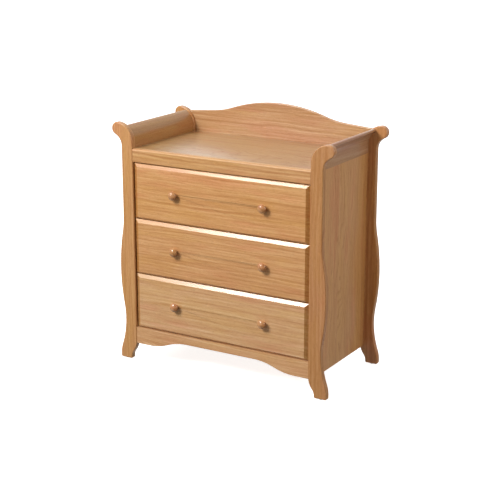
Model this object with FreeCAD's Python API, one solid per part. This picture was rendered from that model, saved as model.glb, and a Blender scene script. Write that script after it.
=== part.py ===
import FreeCAD, Part
import math
import os

# A sleigh-style changing chest: four flat scrolled posts carry two side panels, rolled end
# panels, a flat changing surface with a crested back guard, and three drawers on metal
# roller slides.  Millimetres.  +X is the chest's left-to-right, +Y runs from front to back,
# +Z is up.  The origin is on the floor, under the middle of the whole object.

Vector = FreeCAD.Vector

# ---- driving dimensions -------------------------------------------------------------------
BAY_HALF_WIDTH = 400.0        # middle of the chest to the inner edge of a post
FRONT_FACE_Y = -226.0         # front face of the front posts
CHEST_DEPTH = 476.0           # front face of the front posts to rear face of the rear posts
POST_THICKNESS = 24.0
TOP_SURFACE_Z = 891.0         # the changing surface above the floor
OPENING_BOTTOM_Z = 145.0      # the drawer opening, from the top of the apron ...
OPENING_TOP_Z = 837.0         # ... to the underside of the front top rail
SKIRT_BOTTOM_Z = 74.0         # lowest edge of the side panels, apron and rear rail

# posts, seen from the front
POST_OUTER_X = 452.0          # straight upper part
BULGE_X = 472.4               # widest point of the S below it
BULGE_Z = 390.0
WAIST_X = 453.3               # narrowest point above the foot
FOOT_OUTER_X = 480.5
FOOT_INNER_X = 425.5
FOOT_INNER_START_Z = 85.0     # where the inner edge starts to swing out
SWEEP_RADII = (325.0, 850.0, 350.0, 125.0)     # the four arcs of the outer S, from the top
FOOT_RADII = (80.0, 40.0)     # the two arcs of the inner edge of the foot, from the top
FOOT_CORNER = 6.0
SCROLL_X = 471.0              # centre of the rolled head
SCROLL_Z = 966.0
SCROLL_RADIUS = 26.0
NECK_INNER_RADIUS = 75.0
NECK_OUTER_RADIUS = 50.0
POST_EDGE_ROUND = 4.0
GLIDE_HEIGHT = 2.5
GLIDE_RADIUS = 7.5
GLIDE_EDGE_ROUND = 0.8

# boards of the frame
PANEL_THICKNESS = 16.0
END_REVEAL = 3.5              # a post stands this far proud of the rolled end's inner face
END_THICKNESS = 14.0
END_BOTTOM_Z = 880.0
END_CREST_Z = 979.0
TOP_THICKNESS = 18.0
RAIL_THICKNESS = 22.0
RAIL_SETBACK = 2.0
RAIL_NOSE = 8.0
EASED_EDGE = 2.5
APRON_THICKNESS = 18.0
APRON_SETBACK = 3.0
APRON_ARCH_Z = 109.0
APRON_FLAT_END = 60.0         # level stretch beside each post
APRON_OGEE_RUN = 184.0        # length of the S between that and the arch
GUARD_THICKNESS = 12.0
GUARD_BOTTOM_Z = 820.0
GUARD_CREST_Z = 1041.0
GUARD_HUMP_RADIUS = 668.0
GUARD_FLANK_RADIUS = 392.0
GUARD_FLANK_ANGLE = 18.8
GUARD_SHOULDER_ANGLE = 4.6
REAR_RAIL_HEIGHT = 60.0
REAR_RAIL_THICKNESS = 18.0
BACK_THICKNESS = 4.0
BACK_SETBACK = 4.0
BACK_GROOVE = 6.0

# drawers
DRAWER_LEVELS = ("lower", "middle", "upper")
DRAWER_GAP = 3.0
FRONT_THICKNESS = 19.0
FRONT_SETBACK = 2.0
BEVEL_WIDTH = 16.0            # across the face at both ends,
BEVEL_TOP_WIDTH = 14.0        # along the upper edge
BEVEL_LOW_WIDTH = 8.0         # and, much steeper, along the lower edge
BEVEL_DEPTH = 9.0
SLIDE_SPACE = 12.7            # between a drawer side and its side panel
BOX_THICKNESS = 12.0
BOX_EDGE_ROUND = 1.5
BOX_HEIGHT = 160.0
BOX_DEPTH = 410.0
BOX_RAISE = 28.0              # underside of the box above the lower edge of its front
BOTTOM_THICKNESS = 4.0
BOTTOM_RAISE = 10.0
BOTTOM_GROOVE = 6.0
KNOB_X = 203.0
KNOB_RISE = 4.0               # above the middle of the front
KNOB_RADIUS = 18.0
KNOB_LENGTH = 28.0
KNOB_FOOT_RADIUS = 10.0
KNOB_FOOT_HEIGHT = 2.0
KNOB_NECK_RADIUS = 7.4
KNOB_NECK_OUT = 8.0           # waist of the cove in front of the drawer
KNOB_RIM_OUT = 17.0           # widest point of the cap in front of the drawer
KNOB_RIM_DROP = 2.5           # rounding of the rim behind that point ...
KNOB_RIM_RISE = 2.0           # ... and in front of it
KNOB_RIM_TURN_IN = 0.6
KNOB_HOLE = 16.0              # depth of the blind hole for its screw
KNOB_SCREW_RADIUS = 2.0
KNOB_SCREW_HEAD_RADIUS = 4.0
KNOB_SCREW_HEAD_HEIGHT = 2.4
KNOB_SCREW_SHORT = 2.0        # a screw stops this far before the bottom of its hole

# roller slides
RUNNER_LENGTH = 400.0
STEEL = 1.2
ROLLER_RADIUS = 9.5
ROLLER_WIDTH = 7.4
ROLLER_EDGE_ROUND = 0.6
ROLLER_SIDE_PLAY = 1.0        # between a roller and the web of the drawer's rail
ROLLER_RAISE = 2.0            # underside of the rollers above the underside of the box
ROLLER_FROM_END = 13.0
AXLE_RADIUS = 2.5
AXLE_PLAY = 0.05
RIVET_RADIUS = 4.0            # the peened end of an axle
RIVET_THICKNESS = 0.5
RIVET_PLAY = 0.2
CHANNEL_FLOOR = 10.0
CHANNEL_LIP = 8.0
TRACK_EDGE_PLAY = 2.5         # between a drawer rail's track and the side panel
RUN_CLEARANCE = 0.3

# hardware
CAM_RADIUS = 7.5
CAM_DEPTH = 12.5
CAM_INSET = 24.0              # cam centre from the end of its board
CAM_PIN_RADIUS = 3.5
CAM_PIN_START = 2.0           # from the middle of the cam
CAM_PIN_INTO_POST = 10.0
CAM_PIN_AXIS = 8.0            # axis of the pin below the face that holds the cam
PANEL_CAM_HEIGHTS = (120.0, 480.0, 820.0)
RAIL_CAM_RISE = 18.0          # cams above the lower edge of the top rail,
APRON_CAM_RISE = 38.0         # the apron
REAR_CAM_RISE = 30.0          # and the rear rail
FIT_PLAY = 0.1
SCREW_RADIUS = 1.75
SCREW_HEAD_RADIUS = 3.4
SCREW_HEAD_DEPTH = 1.6
SCREW_LENGTH = 13.0
RUNNER_SCREWS = (60.0, 200.0, 350.0)              # behind the front end of a runner
BACK_SCREWS_X = (-300.0, -100.0, 100.0, 300.0)
BACK_SCREW_RISE = 20.0        # above the lower edge of the back

# ---- places worked out from them ----------------------------------------------------------
REAR_FACE_Y = FRONT_FACE_Y + CHEST_DEPTH
FRONT_POST_BACK_Y = FRONT_FACE_Y + POST_THICKNESS
REAR_POST_FRONT_Y = REAR_FACE_Y - POST_THICKNESS
NECK_CENTRE_X = BAY_HALF_WIDTH + NECK_INNER_RADIUS
NECK_CENTRE_Z = SCROLL_Z - math.sqrt(
    (NECK_INNER_RADIUS - SCROLL_RADIUS) ** 2 - (NECK_CENTRE_X - SCROLL_X) ** 2)
GUARD_FRONT_Y = REAR_FACE_Y - GUARD_THICKNESS
RAIL_FRONT_Y = FRONT_FACE_Y + RAIL_SETBACK
RAIL_BACK_Y = RAIL_FRONT_Y + RAIL_THICKNESS
APRON_BACK_Y = FRONT_FACE_Y + APRON_SETBACK + APRON_THICKNESS
BACK_REAR_Y = REAR_FACE_Y - BACK_SETBACK
BACK_FRONT_Y = BACK_REAR_Y - BACK_THICKNESS
REAR_RAIL_FRONT_Y = BACK_FRONT_Y - REAR_RAIL_THICKNESS
DRAWER_FACE_Y = FRONT_FACE_Y + FRONT_SETBACK
DRAWER_BACK_OF_FRONT_Y = DRAWER_FACE_Y + FRONT_THICKNESS
FRONT_HALF_WIDTH = BAY_HALF_WIDTH - DRAWER_GAP
FRONT_HEIGHT = (OPENING_TOP_Z - OPENING_BOTTOM_Z - 4 * DRAWER_GAP) / 3
BOX_OUTER_X = BAY_HALF_WIDTH - SLIDE_SPACE
BOX_INNER_X = BOX_OUTER_X - BOX_THICKNESS
BOX_REAR_Y = DRAWER_BACK_OF_FRONT_Y + BOX_DEPTH
RUNNER_FRONT_Y = FRONT_POST_BACK_Y
DRAWER_RUNNER_FRONT_Y = DRAWER_BACK_OF_FRONT_Y
ROLLER_NEAR_X = BOX_OUTER_X + STEEL + ROLLER_SIDE_PLAY
ROLLER_FAR_X = ROLLER_NEAR_X + ROLLER_WIDTH
FRONT_ROLLER_Y = RUNNER_FRONT_Y + ROLLER_FROM_END
REAR_ROLLER_Y = DRAWER_RUNNER_FRONT_Y + RUNNER_LENGTH - ROLLER_FROM_END


# ---- small tools --------------------------------------------------------------------------
def block(x_low, x_high, y_low, y_high, z_low, z_high):
    """A rectangular board between the given planes."""
    corner = Vector(x_low, y_low, z_low)
    return Part.makeBox(x_high - x_low, y_high - y_low, z_high - z_low, corner)


def rod(radius, start, direction, length):
    """A round bar from start, along direction."""
    return Part.makeCylinder(radius, length, Vector(*start), Vector(*direction))


def mirrored(shape):
    """The same shape on the other side of the chest."""
    return shape.mirror(Vector(0, 0, 0), Vector(1, 0, 0))


def side_copy(shape, side):
    """The shape itself for side 1, its mirror image for side -1."""
    return shape if side > 0 else mirrored(shape)


def rounded(shape, radius, wanted):
    """Round each edge for which wanted(edge) is true."""
    edges = [edge for edge in shape.Edges if wanted(edge)]
    return shape.makeFillet(radius, edges)


def lies_on_y(edge, plane_y):
    """Whether the whole edge lies in the plane y = plane_y."""
    box = edge.BoundBox
    return abs(box.YMin - plane_y) < 0.01 and abs(box.YMax - plane_y) < 0.01


class Outline:
    """A front-view outline, drawn by going straight and by bending through tangent arcs."""

    def __init__(self, x, z, heading):
        self.start = Vector(x, 0, z)
        self.here = Vector(x, 0, z)
        self.heading = math.radians(heading)
        self.edges = []

    def line(self, length):
        end = self.here + Vector(math.cos(self.heading), 0, math.sin(self.heading)) * length
        self.edges.append(Part.LineSegment(self.here, end).toShape())
        self.here = end
        return self

    def bend(self, radius, degrees):
        """Turn through an arc; positive degrees turn left."""
        turn = math.radians(degrees)
        left = math.copysign(1.0, degrees)
        side = Vector(-math.sin(self.heading), 0, math.cos(self.heading)) * left
        centre = self.here + side * radius
        points = []
        for part in (0.5, 1.0):
            angle = self.heading + turn * part
            outward = Vector(math.sin(angle), 0, -math.cos(angle)) * left
            points.append(centre + outward * radius)
        self.edges.append(Part.Arc(self.here, points[0], points[1]).toShape())
        self.here = points[1]
        self.heading += turn
        return self

    def board(self, y_low, y_high):
        """Close the outline with a straight line and give it thickness."""
        edges = list(self.edges)
        if self.here.distanceToPoint(self.start) > 1e-6:
            edges.append(Part.LineSegment(self.here, self.start).toShape())
        face = Part.Face(Part.Wire(edges))
        solid = face.extrude(Vector(0, y_high - y_low, 0))
        solid.translate(Vector(0, y_low, 0))
        return solid


def swing_angle(offset, radius_a, radius_b):
    """Angle at the middle of an S of two tangent arcs that shifts sideways by offset."""
    return math.degrees(math.acos(1 - offset / (radius_a + radius_b)))


def swing_length(angle, radius_a, radius_b):
    """Length along the straight direction of that S."""
    return (radius_a + radius_b) * math.sin(math.radians(angle))


# ---- the frame ----------------------------------------------------------------------------
def post_board():
    """A right-hand post: scrolled head, straight neck, S-curved shaft and outswept foot."""
    first, second, third, fourth = SWEEP_RADII
    into_bulge = swing_angle(BULGE_X - POST_OUTER_X, first, second)
    into_waist = swing_angle(BULGE_X - WAIST_X, second, third)
    into_foot = swing_angle(FOOT_OUTER_X - WAIST_X, third, fourth)
    shaft_top = BULGE_Z + swing_length(into_bulge, first, second)
    waist_z = BULGE_Z - swing_length(into_waist, second, third)
    foot_z = waist_z - swing_length(into_foot, third, fourth)
    upper, lower = FOOT_RADII
    inner_swing = swing_angle(FOOT_INNER_X - BAY_HALF_WIDTH, upper, lower)
    inner_z = FOOT_INNER_START_Z - swing_length(inner_swing, upper, lower)
    sole_width = FOOT_OUTER_X - FOOT_INNER_X - 2 * FOOT_CORNER
    roll_top = math.degrees(math.atan2(SCROLL_Z - NECK_CENTRE_Z, SCROLL_X - NECK_CENTRE_X))
    hollow_x = POST_OUTER_X + NECK_OUTER_RADIUS - SCROLL_X
    hollow_turn = math.degrees(math.acos(hollow_x / (NECK_OUTER_RADIUS + SCROLL_RADIUS)))

    outline = Outline(POST_OUTER_X, shaft_top, -90)
    outline.bend(first, into_bulge)
    outline.bend(second, -(into_bulge + into_waist))
    outline.bend(third, into_waist + into_foot)
    outline.bend(fourth, -into_foot)
    outline.line(foot_z - GLIDE_HEIGHT - FOOT_CORNER)
    outline.bend(FOOT_CORNER, -90)
    outline.line(sole_width)
    outline.bend(FOOT_CORNER, -90)
    outline.line(inner_z - GLIDE_HEIGHT - FOOT_CORNER)
    outline.bend(lower, inner_swing)
    outline.bend(upper, -inner_swing)
    outline.line(NECK_CENTRE_Z - FOOT_INNER_START_Z)
    outline.bend(NECK_INNER_RADIUS, roll_top - 180)
    outline.bend(SCROLL_RADIUS, -(roll_top + hollow_turn))
    outline.bend(NECK_OUTER_RADIUS, hollow_turn)
    return outline


def make_post(y_low):
    """A right-hand post with both outlines eased."""
    y_high = y_low + POST_THICKNESS
    post = post_board().board(y_low, y_high)
    return rounded(post, POST_EDGE_ROUND,
                   lambda edge: lies_on_y(edge, y_low) or lies_on_y(edge, y_high))


def make_side_panel():
    """The right-hand side panel, between the front and rear posts."""
    return block(BAY_HALF_WIDTH, BAY_HALF_WIDTH + PANEL_THICKNESS,
                 FRONT_POST_BACK_Y, REAR_POST_FRONT_Y, SKIRT_BOTTOM_Z, END_BOTTOM_Z)


def make_end_scroll():
    """The right-hand rolled end: a board that follows the necks of the posts."""
    inner_radius = NECK_INNER_RADIUS - END_REVEAL
    outer_radius = inner_radius - END_THICKNESS
    nose = END_THICKNESS / 2
    middle = inner_radius - nose
    roll = 180 - math.degrees(math.asin((END_CREST_Z - nose - NECK_CENTRE_Z) / middle))
    sweep = 180 - roll
    straight = NECK_CENTRE_Z - END_BOTTOM_Z
    outline = Outline(BAY_HALF_WIDTH + END_REVEAL, END_BOTTOM_Z, 90)
    outline.line(straight)
    outline.bend(inner_radius, -sweep)
    outline.bend(nose, -180)
    outline.bend(outer_radius, sweep)
    outline.line(straight)
    return outline.board(FRONT_POST_BACK_Y, REAR_POST_FRONT_Y)


def make_top_panel():
    """The changing surface, rebated over the side panels."""
    underside = TOP_SURFACE_Z - TOP_THICKNESS
    lip = BAY_HALF_WIDTH + END_REVEAL
    body = block(-BAY_HALF_WIDTH, BAY_HALF_WIDTH, RAIL_BACK_Y, GUARD_FRONT_Y,
                 underside, TOP_SURFACE_Z)
    wings = block(-lip, lip, FRONT_POST_BACK_Y, REAR_POST_FRONT_Y,
                  END_BOTTOM_Z, TOP_SURFACE_Z)
    return body.fuse(wings).removeSplitter()


def make_front_top_rail():
    """The rail above the drawers, with a rounded nose."""
    rail = block(-BAY_HALF_WIDTH, BAY_HALF_WIDTH, RAIL_FRONT_Y, RAIL_BACK_Y,
                 OPENING_TOP_Z, TOP_SURFACE_Z)

    def long_front_edge(edge, height):
        box = edge.BoundBox
        return lies_on_y(edge, RAIL_FRONT_Y) and abs(box.ZMin - height) + abs(box.ZMax - height) < 0.01

    rail = rounded(rail, RAIL_NOSE, lambda edge: long_front_edge(edge, TOP_SURFACE_Z))
    return rounded(rail, EASED_EDGE, lambda edge: long_front_edge(edge, OPENING_TOP_Z))


def make_apron():
    """The scalloped board under the drawers."""
    rise = APRON_ARCH_Z - SKIRT_BOTTOM_Z
    angle = 2 * math.degrees(math.atan2(rise, APRON_OGEE_RUN))
    radius = APRON_OGEE_RUN / 2 / math.sin(math.radians(angle))
    arch = 2 * (BAY_HALF_WIDTH - APRON_FLAT_END - APRON_OGEE_RUN)
    outline = Outline(-BAY_HALF_WIDTH, OPENING_BOTTOM_Z, -90)
    outline.line(OPENING_BOTTOM_Z - SKIRT_BOTTOM_Z)
    outline.heading = 0.0
    outline.line(APRON_FLAT_END)
    outline.bend(radius, angle)
    outline.bend(radius, -angle)
    outline.line(arch)
    outline.bend(radius, -angle)
    outline.bend(radius, angle)
    outline.line(APRON_FLAT_END)
    outline.heading = math.radians(90)
    outline.line(OPENING_BOTTOM_Z - SKIRT_BOTTOM_Z)
    front = FRONT_FACE_Y + APRON_SETBACK
    apron = outline.board(front, APRON_BACK_Y)
    return rounded(apron, EASED_EDGE,
                   lambda edge: lies_on_y(edge, front) and edge.BoundBox.ZMax < OPENING_BOTTOM_Z - 1)


def make_back_guard():
    """The crested board behind the changing surface, scribed to the rear posts."""
    reach = SCROLL_X - SCROLL_RADIUS
    straight_angle = GUARD_FLANK_ANGLE - GUARD_SHOULDER_ANGLE
    half = Outline(0, GUARD_CREST_Z, 0)
    half.bend(GUARD_HUMP_RADIUS, -GUARD_FLANK_ANGLE)
    half.bend(GUARD_FLANK_RADIUS, straight_angle)
    half.line((reach - half.here.x) / math.cos(half.heading))
    half.heading = math.radians(-90)
    half.line(half.here.z - GUARD_BOTTOM_Z)
    half.heading = math.radians(180)
    half.line(reach)
    board = half.board(GUARD_FRONT_Y, REAR_FACE_Y)
    board = board.fuse(mirrored(board)).removeSplitter()
    room = CHEST_DEPTH
    neck = rod(NECK_INNER_RADIUS + RUN_CLEARANCE, (NECK_CENTRE_X, 0, NECK_CENTRE_Z), (0, 1, 0), room)
    below = block(BAY_HALF_WIDTH, BAY_HALF_WIDTH + room, 0, room, 0, NECK_CENTRE_Z)
    for tool in (neck, below):
        board = board.cut(tool).cut(mirrored(tool))

    def on_crest(edge):
        box = edge.BoundBox
        face = lies_on_y(edge, GUARD_FRONT_Y) or lies_on_y(edge, REAR_FACE_Y)
        wide = box.XLength > box.ZLength
        return face and wide and box.ZMin > SCROLL_Z

    return rounded(board, POST_EDGE_ROUND, on_crest)


def make_rear_bottom_rail():
    """The rail that joins the rear posts under the drawers."""
    return block(-BAY_HALF_WIDTH, BAY_HALF_WIDTH, REAR_RAIL_FRONT_Y, BACK_FRONT_Y,
                 SKIRT_BOTTOM_Z, SKIRT_BOTTOM_Z + REAR_RAIL_HEIGHT)


def make_back_panel(extra=0.0):
    """The thin back, which slides in grooves in the rear posts."""
    reach = BAY_HALF_WIDTH + BACK_GROOVE + extra
    return block(-reach, reach, BACK_FRONT_Y, BACK_REAR_Y, SKIRT_BOTTOM_Z, GUARD_BOTTOM_Z)


def make_glides():
    """A nailed plastic glide under each foot."""
    foot_x = (FOOT_INNER_X + FOOT_OUTER_X) / 2
    glides = []
    for y in (FRONT_FACE_Y + POST_THICKNESS / 2, REAR_FACE_Y - POST_THICKNESS / 2):
        for x in (-foot_x, foot_x):
            pad = rod(GLIDE_RADIUS, (x, y, 0), (0, 0, 1), GLIDE_HEIGHT)
            rim = [edge for edge in pad.Edges if edge.BoundBox.ZMax < 0.01]
            glides.append(pad.makeFillet(GLIDE_EDGE_ROUND, rim))
    return glides


# ---- knock-down hardware ------------------------------------------------------------------
def cam_joints():
    """Each cam joint: point on the face over the cam, way into the board, way to the post."""
    joints = []
    for side in (-1, 1):
        for z in PANEL_CAM_HEIGHTS:
            inner_face = side * BAY_HALF_WIDTH
            joints.append(((inner_face, FRONT_POST_BACK_Y + CAM_INSET, z), (side, 0, 0), (0, -1, 0)))
            joints.append(((inner_face, REAR_POST_FRONT_Y - CAM_INSET, z), (side, 0, 0), (0, 1, 0)))
        x = side * (BAY_HALF_WIDTH - CAM_INSET)
        joints.append(((x, RAIL_BACK_Y, OPENING_TOP_Z + RAIL_CAM_RISE), (0, -1, 0), (side, 0, 0)))
        joints.append(((x, APRON_BACK_Y, SKIRT_BOTTOM_Z + APRON_CAM_RISE), (0, -1, 0), (side, 0, 0)))
        joints.append(((x, REAR_RAIL_FRONT_Y, SKIRT_BOTTOM_Z + REAR_CAM_RISE), (0, 1, 0), (side, 0, 0)))
    return joints


def cam_pin(joint, play=0.0):
    """The steel dowel pin of a joint, from inside its cam into the post."""
    face, inward, towards_post = (Vector(*item) for item in joint)
    start = face + inward * CAM_PIN_AXIS + towards_post * (CAM_PIN_START - play)
    length = CAM_INSET + CAM_PIN_INTO_POST - CAM_PIN_START + 2 * play
    return Part.makeCylinder(CAM_PIN_RADIUS + play, length, start, towards_post)


def cam_disc(joint, play=0.0):
    """The round cam lock of a joint."""
    face, inward, _ = (Vector(*item) for item in joint)
    return Part.makeCylinder(CAM_RADIUS + play, CAM_DEPTH + play, face, inward)


def drill_for_cams(shape):
    """Cut the cam and pin holes that reach into a board or post."""
    for joint in cam_joints():
        for tool in (cam_disc(joint, FIT_PLAY), cam_pin(joint, FIT_PLAY)):
            if shape.BoundBox.intersect(tool.BoundBox):
                shape = shape.cut(tool)
    return shape


def make_cam_locks():
    return [cam_disc(joint).cut(cam_pin(joint, FIT_PLAY)) for joint in cam_joints()]


def make_cam_pins():
    return [cam_pin(joint) for joint in cam_joints()]


def screw_places():
    """Each countersunk wood screw: centre of its head's face and its driving direction."""
    places = []
    for level in range(len(DRAWER_LEVELS)):
        z = roller_bottom(level) + ROLLER_RADIUS
        for side in (-1, 1):
            for along in RUNNER_SCREWS:
                x = side * (BAY_HALF_WIDTH - STEEL)
                places.append(((x, RUNNER_FRONT_Y + along, z), (side, 0, 0)))
    for x in BACK_SCREWS_X:
        places.append(((x, REAR_FACE_Y, TOP_SURFACE_Z - TOP_THICKNESS / 2), (0, -1, 0)))
        places.append(((x, BACK_REAR_Y, SKIRT_BOTTOM_Z + BACK_SCREW_RISE), (0, -1, 0)))
    return places


def wood_screw(place, play=0.0):
    """A countersunk screw whose head is flush with the face it is driven into."""
    start, direction = (Vector(*item) for item in place)
    long_screw = abs(start.y - REAR_FACE_Y) < 0.01
    length = SCREW_LENGTH + (GUARD_THICKNESS if long_screw else 0.0)
    head = Part.makeCone(SCREW_HEAD_RADIUS + play, SCREW_RADIUS + play, SCREW_HEAD_DEPTH + play,
                         start, direction)
    shank = Part.makeCylinder(SCREW_RADIUS + play, length + play, start, direction)
    return head.fuse(shank).removeSplitter()


def drill_for_screws(shape):
    for place in screw_places():
        tool = wood_screw(place, FIT_PLAY)
        if shape.BoundBox.intersect(tool.BoundBox):
            shape = shape.cut(tool)
    return shape


# ---- slides -------------------------------------------------------------------------------
def front_bottom(level):
    """Height of the lower edge of a drawer front."""
    return OPENING_BOTTOM_Z + DRAWER_GAP + level * (FRONT_HEIGHT + DRAWER_GAP)


def box_bottom(level):
    return front_bottom(level) + BOX_RAISE


def roller_bottom(level):
    return box_bottom(level) + ROLLER_RAISE


def make_cabinet_runner(level):
    """The right-hand channel on the side panel, with the axle of its front roller."""
    low = roller_bottom(level)
    track = low - RUN_CLEARANCE
    drawer_flange_top = low + 2 * ROLLER_RADIUS + RUN_CLEARANCE + STEEL
    lip = drawer_flange_top + 2 * RUN_CLEARANCE
    rear = RUNNER_FRONT_Y + RUNNER_LENGTH
    wall = BAY_HALF_WIDTH
    web = block(wall - STEEL, wall, RUNNER_FRONT_Y, rear, track - STEEL, lip + STEEL)
    floor = block(wall - CHANNEL_FLOOR, wall, RUNNER_FRONT_Y, rear, track - STEEL, track)
    behind_roller = RUNNER_FRONT_Y + 2 * ROLLER_FROM_END
    roof = block(wall - CHANNEL_LIP, wall, behind_roller, rear, lip, lip + STEEL)
    stop = block(wall - CHANNEL_FLOOR, wall, rear - STEEL, rear, track - STEEL, lip + STEEL)
    tip = (ROLLER_NEAR_X - RIVET_PLAY - RIVET_THICKNESS, FRONT_ROLLER_Y, low + ROLLER_RADIUS)
    axle = rod(AXLE_RADIUS, tip, (1, 0, 0), wall - STEEL - tip[0])
    rivet = rod(RIVET_RADIUS, tip, (1, 0, 0), RIVET_THICKNESS)
    shape = web
    for piece in (floor, roof, stop, axle, rivet):
        shape = shape.fuse(piece)
    return drill_for_screws(shape.removeSplitter())


def make_drawer_runner(level):
    """The right-hand rail under the drawer side, with the axle of its rear roller."""
    base = box_bottom(level)
    flange = roller_bottom(level) + 2 * ROLLER_RADIUS + RUN_CLEARANCE
    front = DRAWER_RUNNER_FRONT_Y
    rear = front + RUNNER_LENGTH
    web_face = BOX_OUTER_X + STEEL
    web = block(BOX_OUTER_X, web_face, front, rear, base - STEEL, flange + STEEL)
    sole = block(BOX_INNER_X, web_face, front, rear, base - STEEL, base)
    edge = BAY_HALF_WIDTH - TRACK_EDGE_PLAY
    track = block(BOX_OUTER_X, edge, front, rear, flange, flange + STEEL)
    tip = (ROLLER_FAR_X + RIVET_PLAY + RIVET_THICKNESS, REAR_ROLLER_Y,
           roller_bottom(level) + ROLLER_RADIUS)
    axle = rod(AXLE_RADIUS, tip, (-1, 0, 0), tip[0] - web_face)
    rivet = rod(RIVET_RADIUS, tip, (-1, 0, 0), RIVET_THICKNESS)
    shape = web
    for piece in (sole, track, axle, rivet):
        shape = shape.fuse(piece)
    return shape.removeSplitter()


def make_rollers(level, y):
    """The left and right rollers that turn about one line across the chest."""
    z = roller_bottom(level) + ROLLER_RADIUS
    inner_end = (ROLLER_NEAR_X, y, z)
    wheel = rod(ROLLER_RADIUS, inner_end, (1, 0, 0), ROLLER_WIDTH)
    wheel = rounded(wheel, ROLLER_EDGE_ROUND, lambda edge: edge.BoundBox.XLength < 0.01)
    wheel = wheel.cut(rod(AXLE_RADIUS + AXLE_PLAY, inner_end, (1, 0, 0), ROLLER_WIDTH))
    return [mirrored(wheel), wheel]


# ---- drawers ------------------------------------------------------------------------------
def make_drawer_front(level):
    """A front bevelled along all four edges, steepest below; groove and holes behind."""
    low = front_bottom(level)
    high = low + FRONT_HEIGHT
    bevel_back = DRAWER_FACE_Y + BEVEL_DEPTH

    def rectangle(half_width, bottom, top, y):
        corners = [(-half_width, bottom), (half_width, bottom), (half_width, top), (-half_width, top)]
        points = [Vector(x, y, z) for x, z in corners]
        return Part.makePolygon(points + points[:1])

    face_half = FRONT_HALF_WIDTH - BEVEL_WIDTH
    face = rectangle(face_half, low + BEVEL_LOW_WIDTH, high - BEVEL_TOP_WIDTH, DRAWER_FACE_Y)
    foot = rectangle(FRONT_HALF_WIDTH, low, high, bevel_back)
    raised = Part.makeLoft([face, foot], True, True)
    slab = block(-FRONT_HALF_WIDTH, FRONT_HALF_WIDTH,
                 bevel_back, DRAWER_BACK_OF_FRONT_Y, low, high)
    front = raised.fuse(slab).removeSplitter()
    groove_z = box_bottom(level) + BOTTOM_RAISE
    reach = BOX_INNER_X + BOTTOM_GROOVE
    front = front.cut(block(-reach, reach, DRAWER_BACK_OF_FRONT_Y - BOTTOM_GROOVE,
                            DRAWER_BACK_OF_FRONT_Y, groove_z, groove_z + BOTTOM_THICKNESS))
    for side in (-1, 1):
        hole = (side * KNOB_X, DRAWER_FACE_Y, knob_height(level))
        front = front.cut(rod(KNOB_SCREW_RADIUS + 2 * FIT_PLAY, hole, (0, 1, 0), FRONT_THICKNESS))
    return front


def make_drawer_side(level):
    """The right-hand side of the drawer box, grooved for the bottom."""
    low = box_bottom(level)
    side = block(BOX_INNER_X, BOX_OUTER_X, DRAWER_BACK_OF_FRONT_Y, BOX_REAR_Y, low, low + BOX_HEIGHT)
    groove = block(BOX_INNER_X, BOX_INNER_X + BOTTOM_GROOVE, DRAWER_BACK_OF_FRONT_Y, BOX_REAR_Y,
                   low + BOTTOM_RAISE, low + BOTTOM_RAISE + BOTTOM_THICKNESS)
    top = low + BOX_HEIGHT
    side = side.cut(groove)

    def long_top_edge(edge):
        box = edge.BoundBox
        return box.ZMin > top - 0.01 and box.YLength > BOX_DEPTH - 1

    return rounded(side, BOX_EDGE_ROUND, long_top_edge)


def make_drawer_back(level):
    """The back of the drawer box, which stands on the bottom."""
    low = box_bottom(level)
    return block(-BOX_INNER_X, BOX_INNER_X, BOX_REAR_Y - BOX_THICKNESS, BOX_REAR_Y,
                 low + BOTTOM_RAISE + BOTTOM_THICKNESS, low + BOX_HEIGHT)


def make_drawer_bottom(level):
    """The thin bottom, held in grooves in the front and both sides."""
    low = box_bottom(level) + BOTTOM_RAISE
    reach = BOX_INNER_X + BOTTOM_GROOVE
    return block(-reach, reach, DRAWER_BACK_OF_FRONT_Y - BOTTOM_GROOVE, BOX_REAR_Y,
                 low, low + BOTTOM_THICKNESS)


def knob_height(level):
    return front_bottom(level) + FRONT_HEIGHT / 2 + KNOB_RISE


def make_knob(level):
    """The right-hand turned knob: foot ring, cove, mushroom cap and a blind screw hole."""
    def at(radius, out):
        return Vector(radius, -out, 0)

    dome_start = at(KNOB_RADIUS - KNOB_RIM_TURN_IN, KNOB_RIM_OUT + KNOB_RIM_RISE)
    dome_rise = KNOB_LENGTH + dome_start.y
    dome_radius = (dome_start.x ** 2 + dome_rise ** 2) / (2 * dome_rise)
    half_way = math.asin(dome_start.x / dome_radius) / 2
    dome_middle = at(dome_radius * math.sin(half_way),
                     KNOB_LENGTH - dome_radius * (1 - math.cos(half_way)))
    hole = KNOB_SCREW_RADIUS + FIT_PLAY
    foot_edge = at(KNOB_FOOT_RADIUS, KNOB_FOOT_HEIGHT)
    cove_end = at(KNOB_RADIUS - KNOB_RIM_DROP, KNOB_RIM_OUT - KNOB_RIM_DROP)
    crown = at(0, KNOB_LENGTH)
    corners = [crown, at(0, KNOB_HOLE), at(hole, KNOB_HOLE), at(hole, 0),
               at(KNOB_FOOT_RADIUS, 0), foot_edge]
    edges = [Part.LineSegment(a, b).toShape() for a, b in zip(corners, corners[1:])]
    edges.append(Part.Arc(foot_edge, at(KNOB_NECK_RADIUS, KNOB_NECK_OUT), cove_end).toShape())
    edges.append(Part.Arc(cove_end, at(KNOB_RADIUS, KNOB_RIM_OUT), dome_start).toShape())
    edges.append(Part.Arc(dome_start, dome_middle, crown).toShape())
    knob = Part.Face(Part.Wire(edges)).revolve(Vector(0, 0, 0), Vector(0, 1, 0), 360)
    knob.translate(Vector(KNOB_X, DRAWER_FACE_Y, knob_height(level)))
    return knob


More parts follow.
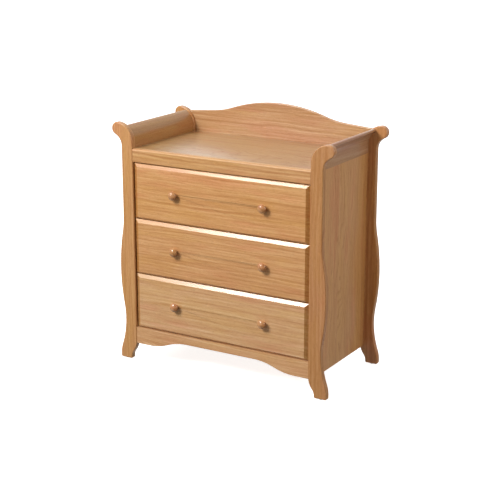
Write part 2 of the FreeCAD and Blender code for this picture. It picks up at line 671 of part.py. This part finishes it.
def make_knob_screws(level):
    """The machine screws that hold both knobs from inside the drawer."""
    screws = []
    for side in (-1, 1):
        back = (side * KNOB_X, DRAWER_BACK_OF_FRONT_Y, knob_height(level))
        reach = FRONT_THICKNESS + KNOB_HOLE - KNOB_SCREW_SHORT
        shank = rod(KNOB_SCREW_RADIUS, back, (0, -1, 0), reach)
        head = rod(KNOB_SCREW_HEAD_RADIUS, back, (0, 1, 0), KNOB_SCREW_HEAD_HEIGHT)
        end_y = DRAWER_BACK_OF_FRONT_Y + KNOB_SCREW_HEAD_HEIGHT
        head = rounded(head, KNOB_SCREW_HEAD_HEIGHT / 2, lambda edge: lies_on_y(edge, end_y))
        screws.append(shank.fuse(head).removeSplitter())
    return screws


# ---- everything in its place --------------------------------------------------------------
def frame_nodes():
    """The standing frame, by node name."""
    nodes = {}
    groove = make_back_panel(FIT_PLAY)
    for row, y_low in (("front", FRONT_FACE_Y), ("rear", REAR_POST_FRONT_Y)):
        for name, side in (("left", -1), ("right", 1)):
            post = drill_for_cams(side_copy(make_post(y_low), side))
            nodes[f"{row}_{name}_post"] = post.cut(groove) if row == "rear" else post
    for name, side in (("left", -1), ("right", 1)):
        panel = side_copy(make_side_panel(), side)
        nodes[f"{name}_side_panel"] = drill_for_screws(drill_for_cams(panel))
        nodes[f"{name}_end_scroll"] = side_copy(make_end_scroll(), side)
    nodes["top_panel"] = drill_for_screws(make_top_panel())
    nodes["back_guard"] = drill_for_screws(make_back_guard())
    nodes["front_top_rail"] = drill_for_cams(make_front_top_rail())
    nodes["front_apron"] = drill_for_cams(make_apron())
    nodes["rear_bottom_rail"] = drill_for_screws(drill_for_cams(make_rear_bottom_rail()))
    nodes["back_panel"] = drill_for_screws(make_back_panel())
    nodes["floor_glides"] = Part.makeCompound(make_glides())
    nodes["cam_locks"] = Part.makeCompound(make_cam_locks())
    nodes["cam_pins"] = Part.makeCompound(make_cam_pins())
    nodes["wood_screws"] = Part.makeCompound([wood_screw(place) for place in screw_places()])
    return nodes


def drawer_nodes(level):
    """One drawer with its slides, by node name."""
    name = DRAWER_LEVELS[level]
    nodes = {
        f"{name}_drawer_front": make_drawer_front(level),
        f"{name}_drawer_back": make_drawer_back(level),
        f"{name}_drawer_bottom": make_drawer_bottom(level),
        f"{name}_knob_screws": Part.makeCompound(make_knob_screws(level)),
        f"{name}_cabinet_rollers": Part.makeCompound(make_rollers(level, FRONT_ROLLER_Y)),
        f"{name}_drawer_rollers": Part.makeCompound(make_rollers(level, REAR_ROLLER_Y)),
    }
    for hand, side in (("left", -1), ("right", 1)):
        nodes[f"{name}_drawer_{hand}_side"] = side_copy(make_drawer_side(level), side)
        nodes[f"{name}_{hand}_knob"] = side_copy(make_knob(level), side)
        nodes[f"{name}_{hand}_cabinet_runner"] = side_copy(make_cabinet_runner(level), side)
        nodes[f"{name}_{hand}_drawer_runner"] = side_copy(make_drawer_runner(level), side)
    return nodes


os.makedirs("parts", exist_ok=True)
all_nodes = frame_nodes()
for drawer_level in range(len(DRAWER_LEVELS)):
    all_nodes.update(drawer_nodes(drawer_level))
for node_name, node_shape in all_nodes.items():
    if not node_shape.isValid():
        raise ValueError(f"{node_name} is not a valid shape")
    node_shape.exportStep(f"parts/{node_name}.step")
print(len(all_nodes), "nodes")
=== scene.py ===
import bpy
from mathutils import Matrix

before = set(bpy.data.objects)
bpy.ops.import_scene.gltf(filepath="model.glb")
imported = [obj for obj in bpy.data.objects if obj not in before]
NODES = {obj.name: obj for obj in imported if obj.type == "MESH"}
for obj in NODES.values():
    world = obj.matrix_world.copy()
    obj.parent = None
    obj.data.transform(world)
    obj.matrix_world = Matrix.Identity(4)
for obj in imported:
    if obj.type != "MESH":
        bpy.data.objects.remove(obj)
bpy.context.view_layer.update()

import math
import random

import bpy
from mathutils import Matrix, Vector

# A sleigh-style changing chest in honey-coloured oak.  The joinery comes from the frame; this
# script gives every board its own grain and lacquer, every fitting its finish, eases the edges
# of the drawer fronts, and sets the camera, floor and lights.

LEVELS = ("lower", "middle", "upper")
HANDS = ("left", "right")
MM = 0.001


# ---- camera -------------------------------------------------------------------------------
CAMERA_AZIMUTH = 30.65
CAMERA_ELEVATION = 15.74
CAMERA_DISTANCE = 5.226
CAMERA_TARGET = Vector((0.0, -0.006, 0.480))
CAMERA_OFFSET = (0.0114, -0.0015)     # right and up, across the line of sight
CAMERA_LENS = 93.2


def look_axes(azimuth, elevation):
    """Right, up and backward unit vectors of a camera that looks down on the front."""
    around = math.radians(azimuth)
    above = math.radians(elevation)
    back = Vector((math.sin(around) * math.cos(above),
                   -math.cos(around) * math.cos(above), math.sin(above)))
    right = Vector((math.cos(around), math.sin(around), 0.0))
    return right, back.cross(right), back


def make_camera():
    right, up, back = look_axes(CAMERA_AZIMUTH, CAMERA_ELEVATION)
    place = CAMERA_TARGET + back * CAMERA_DISTANCE
    place += right * CAMERA_OFFSET[0] + up * CAMERA_OFFSET[1]
    data = bpy.data.cameras.new("photo_camera")
    data.lens = CAMERA_LENS
    data.sensor_width = 36.0
    camera = bpy.data.objects.new("photo_camera", data)
    bpy.context.scene.collection.objects.link(camera)
    turn = Matrix((right, up, back)).transposed()
    camera.matrix_world = Matrix.Translation(place) @ turn.to_4x4()
    bpy.context.scene.camera = camera


# ---- node helpers -------------------------------------------------------------------------
def srgb(red, green, blue):
    """An 8-bit colour as the linear RGBA that shaders take."""
    def linear(value):
        part = value / 255.0
        return part / 12.92 if part <= 0.04045 else ((part + 0.055) / 1.055) ** 2.4
    return (linear(red), linear(green), linear(blue), 1.0)


def put(tree, socket, value):
    """Feed a socket from another socket, or set it to a constant."""
    if isinstance(value, bpy.types.NodeSocket):
        tree.links.new(value, socket)
    else:
        socket.default_value = value


def calc(tree, operation, first, second=None, third=None):
    node = tree.nodes.new("ShaderNodeMath")
    node.operation = operation
    for index, value in enumerate((first, second, third)):
        if value is not None:
            put(tree, node.inputs[index], value)
    return node.outputs[0]


def stretch(tree, vector, along, across, depth=None):
    """The vector with its three parts scaled."""
    node = tree.nodes.new("ShaderNodeVectorMath")
    node.operation = "MULTIPLY"
    put(tree, node.inputs[0], vector)
    node.inputs[1].default_value = (along, across, across if depth is None else depth)
    return node.outputs[0]


def noise(tree, vector, detail=2.0, roughness=0.5, distortion=0.0):
    """Noise whose grain size is set by how far its vector has been stretched."""
    node = tree.nodes.new("ShaderNodeTexNoise")
    put(tree, node.inputs["Vector"], vector)
    node.inputs["Scale"].default_value = 1.0
    node.inputs["Detail"].default_value = detail
    node.inputs["Roughness"].default_value = roughness
    node.inputs["Distortion"].default_value = distortion
    return node


def remap(tree, value, low, high, to_low=0.0, to_high=1.0):
    """A smooth step from to_low at low to to_high at high."""
    node = tree.nodes.new("ShaderNodeMapRange")
    node.interpolation_type = "SMOOTHSTEP"
    put(tree, node.inputs["Value"], value)
    for name, number in (("From Min", low), ("From Max", high),
                         ("To Min", to_low), ("To Max", to_high)):
        node.inputs[name].default_value = number
    return node.outputs["Result"]


def blend(tree, factor, first, second, mode="MIX"):
    node = tree.nodes.new("ShaderNodeMix")
    node.data_type = "RGBA"
    node.blend_type = mode
    put(tree, node.inputs["Factor"], factor)
    put(tree, node.inputs[6], first)
    put(tree, node.inputs[7], second)
    return node.outputs[2]


def ramp(tree, factor, stops):
    node = tree.nodes.new("ShaderNodeValToRGB")
    put(tree, node.inputs["Fac"], factor)
    elements = node.color_ramp.elements
    while len(elements) < len(stops):
        elements.new(0.5)
    for element, (position, colour) in zip(elements, stops):
        element.position = position
        element.color = colour
    return node.outputs["Color"]


def bump(tree, height, strength, distance):
    node = tree.nodes.new("ShaderNodeBump")
    put(tree, node.inputs["Height"], height)
    node.inputs["Strength"].default_value = strength
    node.inputs["Distance"].default_value = distance
    return node.outputs["Normal"]


def new_material(name):
    material = bpy.data.materials.new(name)
    material.use_nodes = True
    tree = material.node_tree
    return material, tree, tree.nodes["Principled BSDF"]


def object_point(tree):
    return tree.nodes.new("ShaderNodeTexCoord").outputs["Object"]


def edge_mask(tree, radius):
    """Near 1 within radius of a sharp edge and 0 on open faces."""
    bevel = tree.nodes.new("ShaderNodeBevel")
    bevel.samples = 4
    bevel.inputs["Radius"].default_value = radius
    geometry = tree.nodes.new("ShaderNodeNewGeometry")
    dot = tree.nodes.new("ShaderNodeVectorMath")
    dot.operation = "DOT_PRODUCT"
    tree.links.new(bevel.outputs[0], dot.inputs[0])
    tree.links.new(geometry.outputs["Normal"], dot.inputs[1])
    return remap(tree, dot.outputs["Value"], 0.98, 0.75)


# ---- oak ----------------------------------------------------------------------------------
RING_WIDTH = 3.1 * MM
WANDER = 0.06                 # how far the log's heart strays along its length
SHIVER = 0.012                # finer waviness of the rings
HEART_DEPTH = 0.30            # how far the heart of the log lies under a board's face


def make_oak_group():
    """Solid oak grain.  Point is (along the grain, across the face, into the board), metres."""
    group = bpy.data.node_groups.new("oak_grain", "ShaderNodeTree")
    face = group.interface
    face.new_socket("Point", in_out="INPUT", socket_type="NodeSocketVector")
    for name in ("Tone", "Ring", "Pore", "Fibre", "Streak", "Blotch", "Fleck"):
        face.new_socket(name, in_out="OUTPUT", socket_type="NodeSocketFloat")
    point = group.nodes.new("NodeGroupInput").outputs["Point"]
    out = group.nodes.new("NodeGroupOutput")

    wander = noise(group, stretch(group, point, 1.3, 2.4), detail=1.0)
    ripple = noise(group, stretch(group, point, 6.0, 16.0), detail=2.0)
    parts = group.nodes.new("ShaderNodeSeparateXYZ")
    group.links.new(point, parts.inputs[0])
    drift = group.nodes.new("ShaderNodeSeparateXYZ")
    group.links.new(wander.outputs["Color"], drift.inputs[0])
    shiver = calc(group, "MULTIPLY", calc(group, "SUBTRACT", ripple.outputs["Fac"], 0.5), SHIVER)

    across = calc(group, "ADD", parts.outputs[1],
                  calc(group, "MULTIPLY", calc(group, "SUBTRACT", drift.outputs[0], 0.5), WANDER))
    depth = calc(group, "ADD", parts.outputs[2],
                 calc(group, "MULTIPLY", calc(group, "SUBTRACT", drift.outputs[1], 0.5), WANDER))
    radius = calc(group, "SQRT", calc(group, "ADD", calc(group, "MULTIPLY", across, across),
                                      calc(group, "MULTIPLY", depth, depth)))
    radius = calc(group, "ADD", radius, shiver)
    years = calc(group, "DIVIDE", radius, RING_WIDTH)
    season = calc(group, "FRACT", years)
    ring = calc(group, "MULTIPLY", remap(group, season, 0.55, 0.1), remap(group, season, 0.0, 0.06))

    year_noise = group.nodes.new("ShaderNodeTexNoise")
    year_noise.noise_dimensions = "1D"
    group.links.new(years, year_noise.inputs["W"])
    year_noise.inputs["Scale"].default_value = 0.33
    year_noise.inputs["Detail"].default_value = 3.0

    streak = noise(group, stretch(group, point, 5.0, 130.0), detail=3.0, roughness=0.6)
    fibre = noise(group, stretch(group, point, 26.0, 640.0), detail=3.0, roughness=0.65)
    cells = noise(group, stretch(group, point, 70.0, 1400.0), detail=1.0)
    blotch = noise(group, stretch(group, point, 2.6, 13.0), detail=3.0, roughness=0.6)
    rays = noise(group, stretch(group, point, 55.0, 210.0, 30.0), detail=1.0, distortion=0.4)
    pore = calc(group, "MULTIPLY", remap(group, cells.outputs["Fac"], 0.55, 0.66),
                calc(group, "MULTIPLY_ADD", ring, 0.75, 0.25))
    fleck = remap(group, rays.outputs["Fac"], 0.70, 0.78)

    tone = calc(group, "MULTIPLY", year_noise.outputs["Fac"], 0.34)
    tone = calc(group, "MULTIPLY_ADD", streak.outputs["Fac"], 0.46, tone)
    tone = calc(group, "MULTIPLY_ADD", fibre.outputs["Fac"], 0.30, tone)
    tone = calc(group, "MULTIPLY_ADD", ring, -0.10, tone)
    for name, socket in (("Tone", tone), ("Ring", ring), ("Pore", pore), ("Fleck", fleck),
                         ("Fibre", fibre.outputs["Fac"]), ("Streak", streak.outputs["Fac"]),
                         ("Blotch", blotch.outputs["Fac"])):
        group.links.new(socket, out.inputs[name])
    return group


OAK = make_oak_group()
MEAN_TONE = 0.52
OAK_TONES = ((0.34, (0.415, 0.172, 0.055, 1.0)), (0.47, (0.530, 0.246, 0.088, 1.0)),
             (0.56, (0.590, 0.301, 0.115, 1.0)), (0.70, (0.700, 0.400, 0.180, 1.0)))
BOX_TONES = ((0.34, srgb(182, 146, 100)), (0.47, srgb(206, 173, 126)),
             (0.58, srgb(218, 188, 144)), (0.72, srgb(232, 208, 168)))
KNOB_TONES = ((0.34, (0.330, 0.140, 0.052, 1.0)), (0.47, (0.460, 0.215, 0.086, 1.0)),
              (0.58, (0.560, 0.285, 0.122, 1.0)), (0.72, (0.680, 0.385, 0.180, 1.0)))
PINK = (1.0, 0.895, 0.93, 1.0)
YELLOW = (0.99, 0.99, 0.89, 1.0)
END_GRAIN_AND_SHADE = (0.75, 0.65, 0.47, 1.0)   # tint of a face cut across the grain, which drinks the stain; on the drawer fronts' side bevels it is also painted shade
PORE_STAIN = (0.48, 0.36, 0.27, 1.0)
FLECK_SHEEN = (1.0, 0.86, 0.66, 1.0)
EDGE_DARKENING = (0.84, 0.72, 0.56, 1.0)
DARK_EDGE_RADIUS = 2.4 * MM
GRAIN_RELIEF = 0.25 * MM
STAVE_TONE = 0.045            # how much the strips of a glued-up board differ
AXES = {"x": 0, "y": 1, "z": 2}


def board_point(tree, axes, offset, stave=0.0):
    """Object point turned into (grain, across, depth) and moved to a fresh part of the log.

    With a stave width, the board is glued up: each strip across the face has its own log."""
    parts = tree.nodes.new("ShaderNodeSeparateXYZ")
    tree.links.new(object_point(tree), parts.inputs[0])
    picked = [calc(tree, "ADD", parts.outputs[AXES[axis]], move)
              for axis, move in zip(axes, offset)]
    tint = None
    if stave:
        strip = calc(tree, "FLOOR", calc(tree, "DIVIDE", picked[1], stave))
        white = tree.nodes.new("ShaderNodeTexWhiteNoise")
        white.noise_dimensions = "1D"
        put(tree, white.inputs["W"], calc(tree, "ADD", strip, offset[0]))
        tint = white.outputs["Value"]
        jump = tree.nodes.new("ShaderNodeSeparateColor")
        tree.links.new(white.outputs["Color"], jump.inputs[0])
        picked[0] = calc(tree, "MULTIPLY_ADD", jump.outputs[0], 7.0, picked[0])
        picked[1] = calc(tree, "MULTIPLY_ADD", jump.outputs[1], 0.3, picked[1])
    joined = tree.nodes.new("ShaderNodeCombineXYZ")
    for index, value in enumerate(picked):
        tree.links.new(value, joined.inputs[index])
    return joined.outputs[0], tint


def across_grain_and_shade_mask(tree, axis):
    """1 on faces that tilt towards the end of the board, 0 on those that follow its grain."""
    geometry = tree.nodes.new("ShaderNodeNewGeometry")
    parts = tree.nodes.new("ShaderNodeSeparateXYZ")
    tree.links.new(geometry.outputs["Normal"], parts.inputs[0])
    return remap(tree, calc(tree, "ABSOLUTE", parts.outputs[AXES[axis]]), 0.15, 0.45)


def wood_material(name, axes, seed, tones=OAK_TONES, stave=0.0, lacquer=1.0, roughness=0.45,
                  shade=(1.0, 1.0, 1.0), coat_roughness=0.21, figure=1.0, heart=HEART_DEPTH,
                  end_grain_and_shade=False):
    """One board: its own stretch of grain, satin lacquer and edges a little darker."""
    chance = random.Random(seed)
    offset = (chance.uniform(-9, 9), chance.uniform(-0.15, 0.15),
              heart * chance.uniform(0.75, 1.25))
    material, tree, shader = new_material(name)
    point, tint = board_point(tree, axes, offset, stave)
    oak = tree.nodes.new("ShaderNodeGroup")
    oak.node_tree = OAK
    tree.links.new(point, oak.inputs["Point"])
    tone = calc(tree, "SUBTRACT", oak.outputs["Tone"], MEAN_TONE)
    tone = calc(tree, "MULTIPLY_ADD", tone, figure, MEAN_TONE + chance.uniform(-0.012, 0.012))
    if tint is not None:
        tone = calc(tree, "MULTIPLY_ADD", calc(tree, "SUBTRACT", tint, 0.5), STAVE_TONE, tone)
    # The tint scales the board's tones; besides the board's own colour it carries painted light and
    # shade.
    scaled = [(position, tuple(part * tweak for part, tweak in zip(colour, shade)) + (1.0,))
              for position, colour in tones]
    colour = ramp(tree, tone, scaled)
    colour = blend(tree, remap(tree, oak.outputs["Blotch"], 0.50, 0.66), colour, PINK, "MULTIPLY")
    colour = blend(tree, remap(tree, oak.outputs["Blotch"], 0.50, 0.36), colour, YELLOW, "MULTIPLY")
    colour = blend(tree, calc(tree, "MULTIPLY", oak.outputs["Pore"], 0.6), colour,
                   PORE_STAIN, "MULTIPLY")
    colour = blend(tree, calc(tree, "MULTIPLY", oak.outputs["Fleck"], 0.35), colour,
                   FLECK_SHEEN, "SOFT_LIGHT")
    # Faces across the grain are darkened: end grain takes more stain, and on the drawer fronts'
    # side bevels this is also painted shade.
    if end_grain_and_shade:
        colour = blend(tree, across_grain_and_shade_mask(tree, axes[0]), colour, END_GRAIN_AND_SHADE, "MULTIPLY")
    # Colour darkened and browned within a few millimetres of sharp edges, unevenly along the grain.
    edge = edge_mask(tree, DARK_EDGE_RADIUS)
    darker_edge = calc(tree, "MULTIPLY", edge, remap(tree, oak.outputs["Streak"], 0.35, 0.65, 0.1, 0.7))
    colour = blend(tree, darker_edge, colour, EDGE_DARKENING, "MULTIPLY")
    tree.links.new(colour, shader.inputs["Base Color"])

    gloss = calc(tree, "MULTIPLY_ADD", oak.outputs["Pore"], 0.14, roughness - 0.05)
    gloss = calc(tree, "MULTIPLY_ADD", oak.outputs["Blotch"], 0.10, gloss)
    gloss = calc(tree, "MULTIPLY_ADD", edge, 0.05, gloss)
    tree.links.new(gloss, shader.inputs["Roughness"])
    relief = calc(tree, "MULTIPLY_ADD", oak.outputs["Pore"], -1.0,
                  calc(tree, "MULTIPLY", oak.outputs["Fibre"], 0.35))
    relief = calc(tree, "MULTIPLY_ADD", oak.outputs["Ring"], -0.25, relief)
    tree.links.new(bump(tree, relief, 0.35, GRAIN_RELIEF), shader.inputs["Normal"])
    shader.inputs["Specular IOR Level"].default_value = 0.2
    shader.inputs["Coat Weight"].default_value = lacquer
    shader.inputs["Coat Roughness"].default_value = coat_roughness
    shader.inputs["Coat IOR"].default_value = 1.5
    return material


# ---- other finishes -----------------------------------------------------------------------
def powder_coat():
    """White baked coating on the steel slides, with a fine orange-peel and rubbed tracks."""
    material, tree, shader = new_material("white_powder_coat")
    point = object_point(tree)
    peel = noise(tree, stretch(tree, point, 900.0, 900.0), detail=2.0)
    grime = noise(tree, stretch(tree, point, 60.0, 6.0, 60.0), detail=4.0, roughness=0.65)
    dirt = remap(tree, grime.outputs["Fac"], 0.48, 0.78)
    colour = blend(tree, dirt, srgb(236, 234, 228), srgb(186, 180, 168))
    edge = edge_mask(tree, 0.5 * MM)
    colour = blend(tree, calc(tree, "MULTIPLY", edge, 0.4), colour, srgb(150, 148, 142))
    tree.links.new(colour, shader.inputs["Base Color"])
    tree.links.new(remap(tree, grime.outputs["Fac"], 0.3, 0.7, 0.32, 0.5),
                   shader.inputs["Roughness"])
    tree.links.new(bump(tree, peel.outputs["Fac"], 0.25, 0.0001), shader.inputs["Normal"])
    return material


def nylon():
    """Slightly translucent white rollers, polished where they run."""
    material, tree, shader = new_material("roller_nylon")
    point = object_point(tree)
    cloud = noise(tree, stretch(tree, point, 90.0, 90.0), detail=3.0)
    scratch = noise(tree, stretch(tree, point, 60.0, 900.0), detail=2.0)
    tree.links.new(blend(tree, cloud.outputs["Fac"], srgb(228, 226, 214), srgb(244, 243, 236)),
                   shader.inputs["Base Color"])
    tree.links.new(remap(tree, scratch.outputs["Fac"], 0.35, 0.7, 0.28, 0.46),
                   shader.inputs["Roughness"])
    tree.links.new(bump(tree, scratch.outputs["Fac"], 0.2, 0.0001), shader.inputs["Normal"])
    shader.inputs["Subsurface Weight"].default_value = 0.15
    shader.inputs["Subsurface Radius"].default_value = (0.004, 0.004, 0.003)
    return material


def zinc_plate():
    """Bright zinc plating with the faint mottling of plated fasteners."""
    material, tree, shader = new_material("zinc_plate")
    point = object_point(tree)
    mottle = noise(tree, stretch(tree, point, 320.0, 320.0), detail=4.0, roughness=0.7)
    greys = ((0.3, srgb(150, 150, 146)), (0.55, srgb(196, 197, 196)), (0.75, srgb(214, 212, 202)))
    tree.links.new(ramp(tree, mottle.outputs["Fac"], greys), shader.inputs["Base Color"])
    tree.links.new(remap(tree, mottle.outputs["Fac"], 0.3, 0.7, 0.24, 0.44),
                   shader.inputs["Roughness"])
    tree.links.new(bump(tree, mottle.outputs["Fac"], 0.15, 0.00008), shader.inputs["Normal"])
    shader.inputs["Metallic"].default_value = 1.0
    return material


def glide_plastic():
    """Brown moulded glides, scuffed underneath."""
    material, tree, shader = new_material("glide_plastic")
    point = object_point(tree)
    scuff = noise(tree, stretch(tree, point, 260.0, 700.0), detail=4.0, roughness=0.7)
    worn = remap(tree, scuff.outputs["Fac"], 0.45, 0.75)
    tree.links.new(blend(tree, worn, srgb(92, 66, 44), srgb(138, 112, 86)),
                   shader.inputs["Base Color"])
    tree.links.new(remap(tree, scuff.outputs["Fac"], 0.3, 0.7, 0.42, 0.68),
                   shader.inputs["Roughness"])
    tree.links.new(bump(tree, scuff.outputs["Fac"], 0.3, 0.0001), shader.inputs["Normal"])
    return material


def hardboard(name, axes, seed):
    """Thin pressed-fibre board: brown, speckled, faintly leathery, with a printed wood tone."""
    material, tree, shader = new_material(name)
    chance = random.Random(seed)
    offset = [chance.uniform(-3, 3) for _ in range(3)]
    point, _ = board_point(tree, axes, offset)
    speck = noise(tree, stretch(tree, point, 420.0, 620.0), detail=4.0, roughness=0.75)
    cloud = noise(tree, stretch(tree, point, 3.0, 7.0), detail=3.0)
    strand = noise(tree, stretch(tree, point, 110.0, 300.0), detail=2.0, distortion=0.6)
    colour = ramp(tree, speck.outputs["Fac"], ((0.3, srgb(120, 82, 48)), (0.5, srgb(158, 114, 72)),
                                               (0.72, srgb(186, 144, 98))))
    colour = blend(tree, remap(tree, cloud.outputs["Fac"], 0.3, 0.7, 0.0, 0.5), colour,
                   (0.9, 0.84, 0.78, 1.0), "MULTIPLY")
    tree.links.new(colour, shader.inputs["Base Color"])
    tree.links.new(remap(tree, strand.outputs["Fac"], 0.3, 0.7, 0.46, 0.66),
                   shader.inputs["Roughness"])
    tree.links.new(bump(tree, strand.outputs["Fac"], 0.3, 0.00015), shader.inputs["Normal"])
    return material


# ---- who gets what ------------------------------------------------------------------------
def paint(node, material):
    data = NODES[node].data
    data.materials.clear()
    data.materials.append(material)


DRAWER_CUT = {"figure": 0.85, "heart": 0.5, "stave": 0.079, "end_grain_and_shade": True}
SIDE_CUT = {"figure": 0.5, "heart": 0.16, "stave": 0.107}
# Every oak board: axes of its grain, width and thickness, its tint, and how it was sawn. Besides
# each board's own colour, the tints hold painted light: for example the paler lower drawer front
# and apron stand in for light, the greyer top panel and right end scroll are painted reflection,
# and the darker rear right post is painted shade.
OAK_BOARDS = {
    "front_left_post": ("zxy", (1.00, 1.05, 1.14), {"figure": 0.8, "lacquer": 0.55}),
    "front_right_post": ("zxy", (0.86, 0.84, 0.92), {"figure": 0.8, "lacquer": 0.55}),
    "rear_left_post": ("zxy", (0.98, 0.97, 0.99), {"figure": 0.8}),
    "rear_right_post": ("zxy", (0.94, 0.89, 0.90), {"figure": 0.8}),
    "left_side_panel": ("zyx", (1.11, 1.13, 1.12), SIDE_CUT),
    "right_side_panel": ("zyx", (1.11, 1.13, 1.12), SIDE_CUT),
    "left_end_scroll": ("yzx", (0.84, 0.88, 0.79), {"figure": 0.5}),
    "right_end_scroll": ("yzx", (0.84, 0.91, 1.24), {"figure": 0.6}),
    "top_panel": ("xyz", (0.77, 0.91, 0.98), {"figure": 0.65, "heart": 0.16, "stave": 0.088}),
    "front_top_rail": ("xzy", (1.02, 1.13, 1.27), {"coat_roughness": 0.4, "lacquer": 0.5}),
    "front_apron": ("xzy", (1.12, 1.27, 1.62), {}),
    "back_guard": ("xzy", (0.89, 1.02, 1.32), {"stave": 0.112}),
    "lower_drawer_front": ("xzy", (1.10, 1.29, 1.68), DRAWER_CUT),
    "middle_drawer_front": ("xzy", (1.09, 1.17, 1.32), DRAWER_CUT),
    "upper_drawer_front": ("xzy", (1.09, 1.15, 1.20), DRAWER_CUT),
}


def paint_oak():
    for seed, (node, (axes, shade, sawn)) in enumerate(OAK_BOARDS.items()):
        paint(node, wood_material(f"oak_{node}", axes, 11 + 3 * seed, shade=shade, **sawn))


def box_wood(node, axes, seed):
    paint(node, wood_material(f"plain_{node}", axes, seed, BOX_TONES, lacquer=0.0, roughness=0.58))


def paint_plain_boards():
    """The unlacquered rail, drawer boxes and thin boards, seen only from behind or inside."""
    seeds = iter(range(203, 400, 7))
    box_wood("rear_bottom_rail", "xzy", next(seeds))
    paint("back_panel", hardboard("hardboard_back", "zxy", next(seeds)))
    for level in LEVELS:
        paint(f"{level}_drawer_bottom", hardboard(f"hardboard_{level}", "yxz", next(seeds)))
        box_wood(f"{level}_drawer_back", "xzy", next(seeds))
        for hand in HANDS:
            box_wood(f"{level}_drawer_{hand}_side", "yzx", next(seeds))


def paint_fittings():
    seeds = iter(range(401, 500, 5))
    steel, rollers, zinc = powder_coat(), nylon(), zinc_plate()
    for level in LEVELS:
        for hand in HANDS:
            knob = f"{level}_{hand}_knob"
            paint(knob, wood_material(f"turned_{knob}", "yzx", next(seeds), KNOB_TONES,
                                      roughness=0.35, coat_roughness=0.14))
            paint(f"{level}_{hand}_cabinet_runner", steel)
            paint(f"{level}_{hand}_drawer_runner", steel)
        paint(f"{level}_cabinet_rollers", rollers)
        paint(f"{level}_drawer_rollers", rollers)
        paint(f"{level}_knob_screws", zinc)
    for hardware in ("wood_screws", "cam_locks", "cam_pins"):
        paint(hardware, zinc)
    paint("floor_glides", glide_plastic())


EASED_EDGE = 0.7 * MM


def soften(node, width):
    """Break the machined edges of a board with a small rounded bevel."""
    piece = NODES[node]
    weld = piece.modifiers.new("weld", "WELD")
    weld.merge_threshold = 0.01 * MM
    bevel = piece.modifiers.new("eased_edges", "BEVEL")
    bevel.width = width
    bevel.segments = 2
    bevel.limit_method = "ANGLE"
    bevel.angle_limit = math.radians(25)
    bevel.harden_normals = True


# ---- floor, light and finish --------------------------------------------------------------
FLOOR_GLOW = 0.8
FLOOR_HALF_WIDTH = 40.0


def make_floor():
    """A pale floor lit like a light table, which spills nothing on to the chest."""
    half = FLOOR_HALF_WIDTH
    corners = [(-half, -half, 0), (half, -half, 0), (half, half, 0), (-half, half, 0)]
    mesh = bpy.data.meshes.new("studio_floor")
    mesh.from_pydata(corners, [], [(0, 1, 2, 3)])
    floor = bpy.data.objects.new("studio_floor", mesh)
    bpy.context.scene.collection.objects.link(floor)
    material, tree, shader = new_material("pale_floor")
    grain = noise(tree, stretch(tree, object_point(tree), 2.0, 2.0), detail=2.0)
    tree.links.new(remap(tree, grain.outputs["Fac"], 0.3, 0.7, 0.55, 0.65),
                   shader.inputs["Roughness"])
    shader.inputs["Base Color"].default_value = (0.93, 0.93, 0.93, 1.0)
    shader.inputs["Emission Color"].default_value = (1.0, 1.0, 1.0, 1.0)
    shader.inputs["Emission Strength"].default_value = FLOOR_GLOW
    mesh.materials.append(material)
    floor.visible_diffuse = False
    floor.visible_glossy = False
    floor.visible_shadow = False


LIGHT_AIM = Vector((0.0, 0.0, 0.55))
# Each square soft box: its place, width, power in watts and colour.
LIGHTS = {
    "key": ((-1.95, -3.6, 3.65), 1.7, 245.0, (1.0, 0.98, 0.95)),
    "right_fill": ((3.2, -0.8, 1.6), 1.6, 37.0, (1.0, 0.95, 0.88)),
    "front_fill": ((0.8, -4.2, 1.6), 2.0, 17.0, (1.0, 0.84, 0.66)),
}


def soft_box(name, place, width, power, colour):
    data = bpy.data.lights.new(name, "AREA")
    data.shape = "RECTANGLE"
    data.size = width
    data.size_y = width
    data.energy = power
    data.color = colour
    light = bpy.data.objects.new(name, data)
    light.location = place
    light.rotation_euler = (Vector(place) - LIGHT_AIM).to_track_quat("Z", "Y").to_euler()
    bpy.context.scene.collection.objects.link(light)


WORLD_BACK = 0.65             # brightness of the white studio behind the chest ...
WORLD_LEFT = 0.55             # ... with what is added on its left
WORLD_LOW = 0.3               # share of it just below the horizon ...
WORLD_UNDER = 0.8             # ... and straight up from the ground beside the chest


def make_world():
    """A white studio that is brightest behind the chest, by direction in the room."""
    world = bpy.data.worlds.new("studio")
    bpy.context.scene.world = world
    world.use_nodes = True
    tree = world.node_tree
    background = tree.nodes["Background"]
    parts = tree.nodes.new("ShaderNodeSeparateXYZ")
    tree.links.new(object_point(tree), parts.inputs[0])
    back = remap(tree, parts.outputs[1], -0.3, 0.3, 0.0, WORLD_BACK)
    left = remap(tree, parts.outputs[0], 0.3, -0.3, 0.0, WORLD_LEFT)
    above = remap(tree, parts.outputs[2], -0.1, 0.1, WORLD_LOW, 1.0)
    under = remap(tree, parts.outputs[2], -0.35, -0.55, 0.0, WORLD_UNDER - WORLD_LOW)
    share = calc(tree, "ADD", above, under)
    tree.links.new(calc(tree, "MULTIPLY", calc(tree, "ADD", back, left), share),
                   background.inputs["Strength"])
    background.inputs["Color"].default_value = (1.0, 1.0, 1.0, 1.0)


bpy.context.scene.view_settings.view_transform = "Standard"
make_camera()
make_floor()
make_world()
for light_name, settings in LIGHTS.items():
    soft_box(light_name, *settings)
paint_oak()
paint_plain_boards()
paint_fittings()
for level in LEVELS:
    soften(f"{level}_drawer_front", EASED_EDGE)
